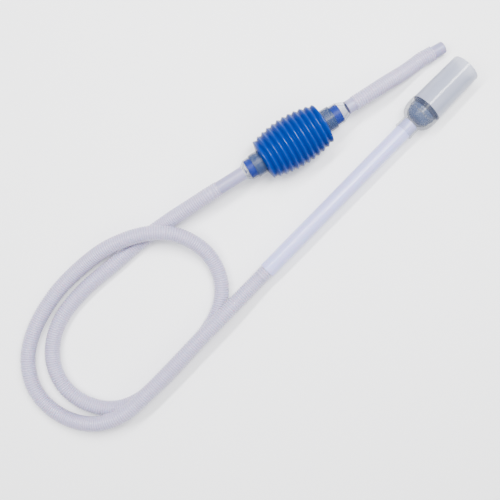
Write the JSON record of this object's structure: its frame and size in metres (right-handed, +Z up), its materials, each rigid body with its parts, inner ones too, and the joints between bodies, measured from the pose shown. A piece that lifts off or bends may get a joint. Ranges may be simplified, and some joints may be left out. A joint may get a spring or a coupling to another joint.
{
  "type": "gravel vacuum siphon",
  "caption": "Aquarium gravel siphon: clear gravel tube and strainer head, straight pipe, looped ribbed hose, bellows hand pump with one-way valves, outlet hose.",
  "frame": {"origin": "on the surface it lies on, under the middle of the box around the pump and the straight set, hoses left out", "axes": "+X along the straight pipe towards the gravel tube's mouth, +Y across towards the pump, +Z up"},
  "size_m": [0.5636, 0.1662, 0.0548],
  "materials": {
    "clear_plastic": "clear, polished",
    "smoky_plastic": "smoky clear, polished",
    "pipe_plastic": "milky, smooth",
    "hose_plastic": "milky, finely ribbed",
    "cuff_plastic": "milky, smooth, soft",
    "bellows_plastic": "moulded, semi-gloss",
    "valve_plastic": "moulded",
    "valve_rubber": "soft, matt"
  },
  "bodies": {
    "gravel_tube": {"gravel_tube": "clear_plastic"},
    "siphon": {"strainer": "smoky_plastic", "siphon_head": "clear_plastic", "straight_pipe": "pipe_plastic", "pipe_cuff": "cuff_plastic", "long_hose": "hose_plastic", "inlet_cuff": "cuff_plastic", "inlet_coupler": "clear_plastic", "inlet_valve_seat": "valve_plastic", "inlet_neck": "clear_plastic", "pump_bellows": "bellows_plastic"},
    "inlet_valve": {"inlet_valve_disc": "valve_rubber", "inlet_valve_clip": "valve_plastic"},
    "outlet_end": {"outlet_neck": "clear_plastic", "outlet_valve_seat": "valve_plastic", "outlet_coupler": "clear_plastic", "outlet_cuff": "cuff_plastic", "outlet_hose": "hose_plastic", "outlet_tip": "cuff_plastic"},
    "outlet_valve": {"outlet_valve_disc": "valve_rubber", "outlet_valve_clip": "valve_plastic"}
  },
  "joints": [
    {"name": "pump_squeeze", "type": "slide", "parent": "siphon", "child": "outlet_end", "axis": [-0.9724, 0.2334, 0], "range_m": [0, 0.025], "stiffness_N_per_m": 400, "deforming": ["pump_bellows"]},
    {"name": "inlet_valve_lift", "type": "slide", "parent": "siphon", "child": "inlet_valve", "axis": [0.9724, -0.2334, 0], "range_m": [0, 0.0024], "stiffness_N_per_m": 20},
    {"name": "outlet_valve_lift", "type": "slide", "parent": "outlet_end", "child": "outlet_valve", "axis": [0.9724, -0.2334, 0], "range_m": [0, 0.0024], "stiffness_N_per_m": 20},
    {"name": "gravel_tube_pull", "type": "slide", "parent": "siphon", "child": "gravel_tube", "axis": [1, 0, 0], "range_m": [0, 0.02]}
  ]
}
